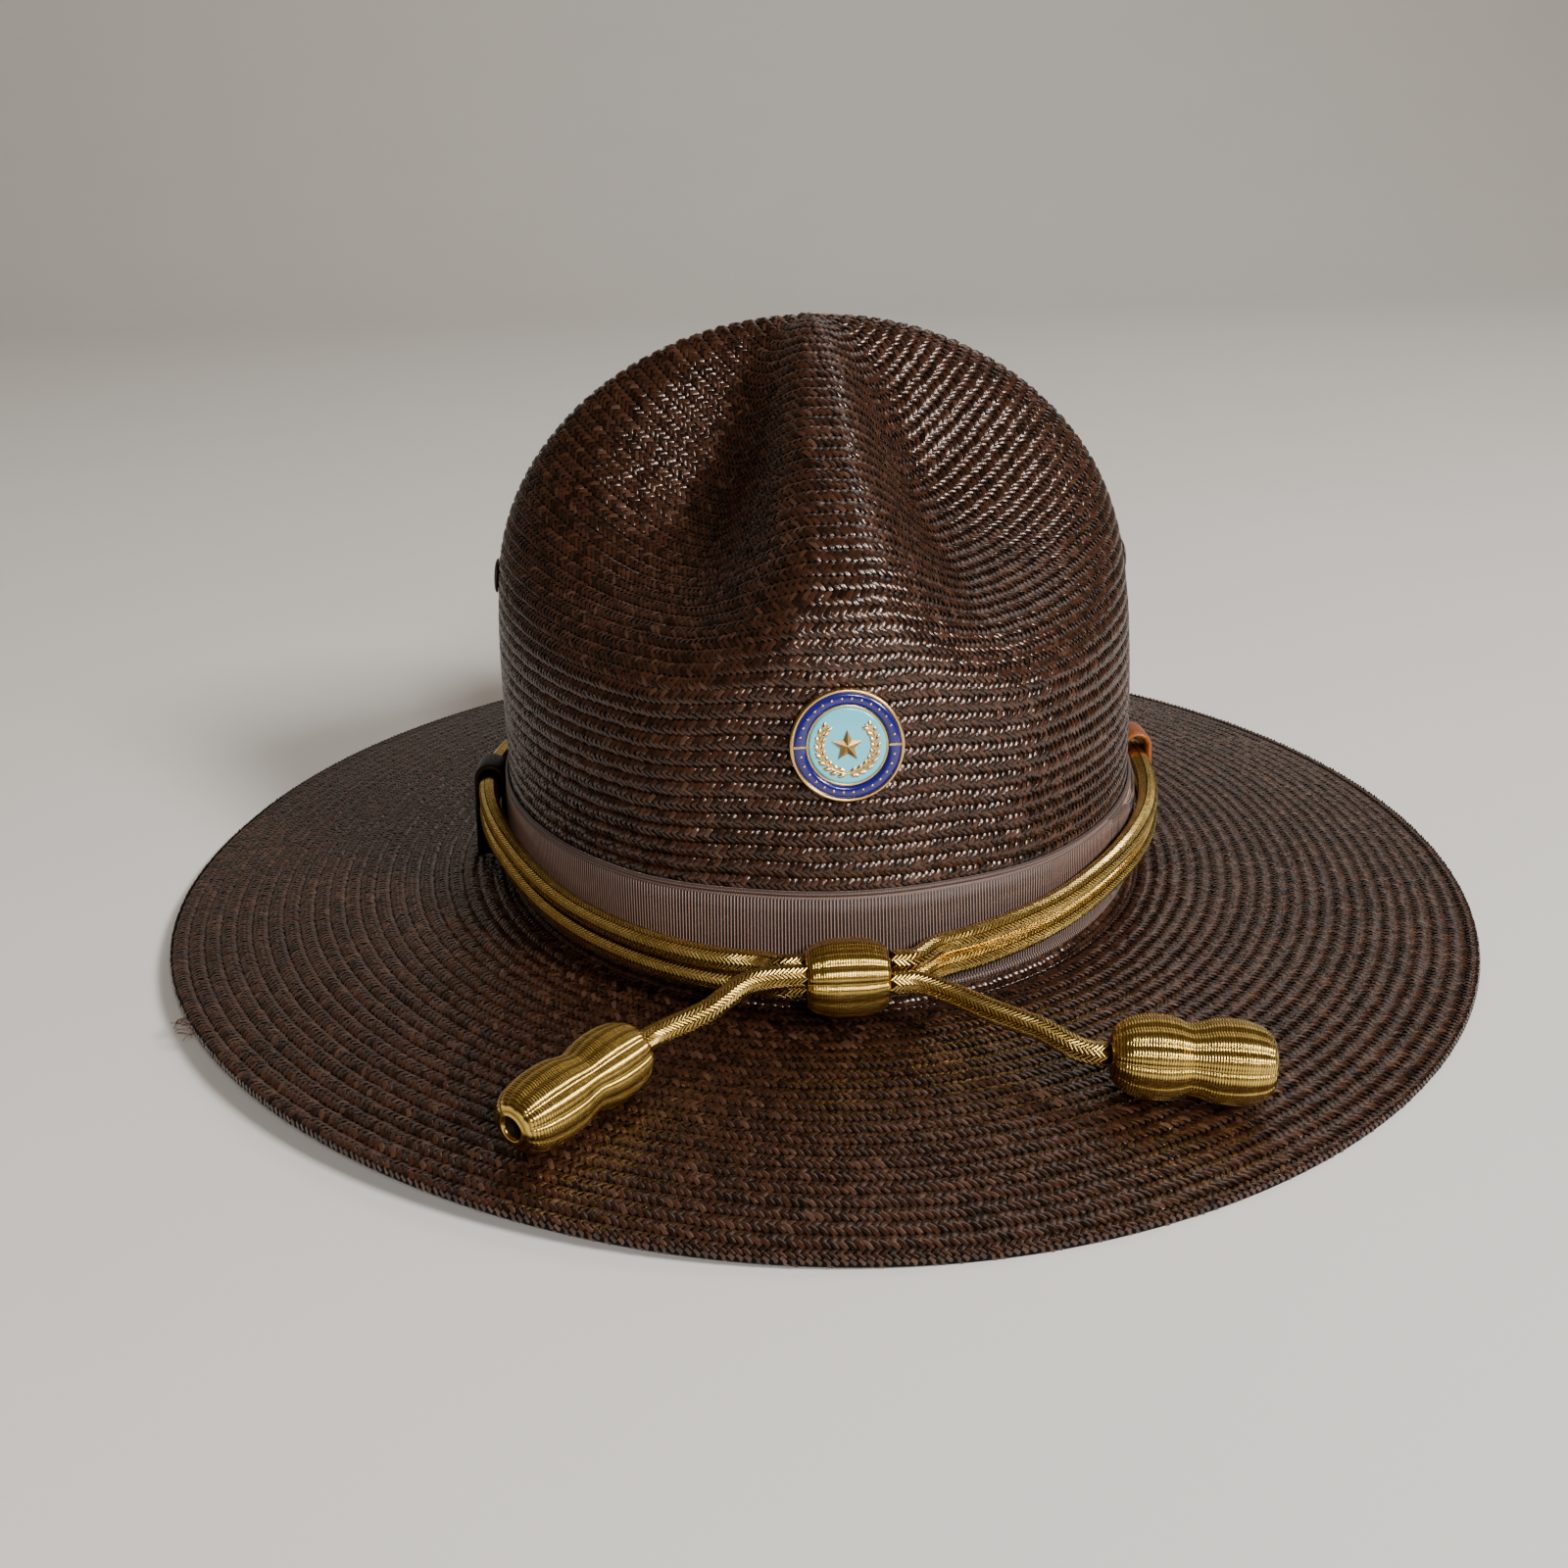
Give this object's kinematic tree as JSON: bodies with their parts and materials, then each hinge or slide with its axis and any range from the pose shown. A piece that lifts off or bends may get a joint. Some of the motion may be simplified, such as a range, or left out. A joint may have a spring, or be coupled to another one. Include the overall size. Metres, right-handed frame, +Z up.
{
  "type": "campaign hat",
  "caption": "Stiff dark brown straw campaign hat with a four-dent crown, flat wide brim, ribbon band, gold hat cord with acorns and a round enamel badge.",
  "frame": {"origin": "centre of the hat's plan on the surface that the brim's edge rests on", "axes": "+Z up; -Y is the hat's front, where the badge and the slide are; +X is the wearer's left, where the bow is"},
  "size_m": [0.34, 0.3694, 0.1473],
  "materials": {
    "straw": "lacquered plaited straw braid, dark brown",
    "ribbon": "ribbed grosgrain ribbon, brown",
    "eyelet_enamel": "brown painted eyelet",
    "leather": "polished brown strap leather",
    "gold_plate": "polished gold plate",
    "navy_enamel": "glossy navy enamel",
    "blue_enamel": "glossy light blue enamel",
    "gold_thread": "gold metallic thread, plaited or wound"
  },
  "bodies": {
    "root": {"straw_body": "straw", "hat_band": "ribbon", "band_bow": "ribbon", "eyelet_left": "eyelet_enamel", "eyelet_right": "eyelet_enamel", "strap_loop_left": "leather", "strap_loop_right": "leather", "badge_back": "gold_plate", "badge_ring": "navy_enamel", "badge_centre": "blue_enamel", "badge_emblem": "gold_plate", "cord_ring_upper": "gold_thread", "cord_ring_lower": "gold_thread", "cord_tail_left": "gold_thread", "cord_tail_right": "gold_thread", "cord_slide": "gold_thread", "acorn_left": "gold_thread", "acorn_right": "gold_thread"}
  },
  "joints": []
}
